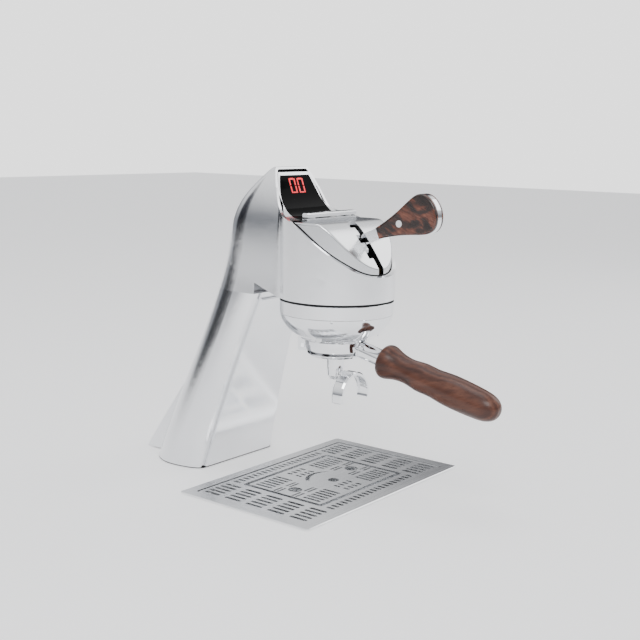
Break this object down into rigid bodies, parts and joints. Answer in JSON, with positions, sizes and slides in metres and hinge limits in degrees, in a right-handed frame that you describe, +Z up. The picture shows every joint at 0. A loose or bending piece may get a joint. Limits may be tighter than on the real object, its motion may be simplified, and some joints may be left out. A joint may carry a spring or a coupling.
{
  "type": "espresso brewing tap",
  "caption": "Counter-mounted espresso brewing tap: leaning column, round head with a gated lever, timer glass and brew bar, bayonet portafilter with double spout, and a flush drip tray.",
  "frame": {"origin": "centre of the four mounting studs, on the top of the counter", "axes": "+Z up, -Y from the column's base towards the user (the group hangs over the tray), +X to the user's right"},
  "size_m": [0.3004, 0.507, 0.4498],
  "materials": {
    "polished_aluminium": "mirror polished",
    "satin_aluminium": "satin",
    "chrome_plated": "polished chrome plate",
    "black_rubber": "moulded",
    "black_trim": "moulded gloss black",
    "plain_steel": "zinc plated",
    "stainless": "bright stainless",
    "brushed_tray": "brushed stainless sheet",
    "raw_brass": "machined",
    "hose_polymer": "extruded",
    "black_polymer": "moulded",
    "board_green": "solder masked",
    "walnut": "oiled walnut",
    "dark_figured_wood": "polished dark red wood",
    "black_glass": "polished",
    "red_led": "lit red"
  },
  "bodies": {
    "column": {"body_shell": "polished_aluminium", "front_cover": "polished_aluminium", "rear_cover": "polished_aluminium", "bar_base": "polished_aluminium", "display_bezel": "polished_aluminium", "top_cap": "satin_aluminium", "upper_ring": "chrome_plated", "group_bowl": "chrome_plated", "base_gasket": "black_rubber", "shell_gasket": "black_rubber", "rim_seal": "black_rubber", "portafilter_seal": "black_rubber", "gate_liner": "black_trim", "base_plate": "plain_steel", "clamp_plate": "plain_steel", "mounting_studs": "plain_steel", "mounting_nuts": "plain_steel", "head_plate": "plain_steel", "bowl_screws": "plain_steel", "lever_bracket": "plain_steel", "lock_screws": "stainless", "dispersion_screen": "stainless", "screen_screw": "stainless", "bar_springs": "stainless", "heater_cartridge": "stainless", "temperature_probe": "stainless", "tray_pan": "brushed_tray", "brew_block": "raw_brass", "inlet_fitting": "raw_brass", "valve_body": "raw_brass", "lever_bushes": "raw_brass", "supply_hose": "hose_polymer", "wire_harness": "black_polymer", "valve_coil": "black_polymer", "position_sensor": "black_polymer", "bar_switches": "black_polymer", "tray_drain": "black_polymer", "display_board": "board_green", "display_glass": "black_glass", "led_digits": "red_led"},
    "lever": {"lever_neck": "chrome_plated", "lever_shaft": "plain_steel", "lever_grip": "dark_figured_wood", "lever_pin": "chrome_plated"},
    "portafilter": {"portafilter_body": "chrome_plated", "filter_basket": "stainless", "basket_spring": "stainless", "spout_neck": "chrome_plated", "double_spout": "chrome_plated", "handle_tube": "chrome_plated", "handle_tie_rod": "plain_steel", "portafilter_grip": "walnut"},
    "brew_bar": {"bar_button": "polished_aluminium"},
    "grate": {"outer_grate": "brushed_tray"},
    "plate": {"centre_plate": "brushed_tray"}
  },
  "joints": [
    {"name": "lever_hinge", "type": "hinge", "parent": "column", "child": "lever", "pos_m": [0, -0.203, 0.2448], "axis": [1, 0, 0], "range_deg": [-15, 20]},
    {"name": "portafilter_turn", "type": "hinge", "parent": "column", "child": "portafilter", "pos_m": [0, -0.215, 0.19], "axis": [0, 0, 1], "range_deg": [-45, 0]},
    {"name": "brew_bar_press", "type": "slide", "parent": "column", "child": "brew_bar", "axis": [0, 0, -1], "range_m": [0, 0.0015], "stiffness_N_per_m": 800, "springref_m": -0.002, "deforming": ["bar_springs"]},
    {"name": "grate_lift", "type": "slide", "parent": "column", "child": "grate", "axis": [0, 0, 1], "range_m": [0, 0.06]},
    {"name": "plate_lift", "type": "slide", "parent": "grate", "child": "plate", "axis": [0, 0, 1], "range_m": [0, 0.04]}
  ]
}
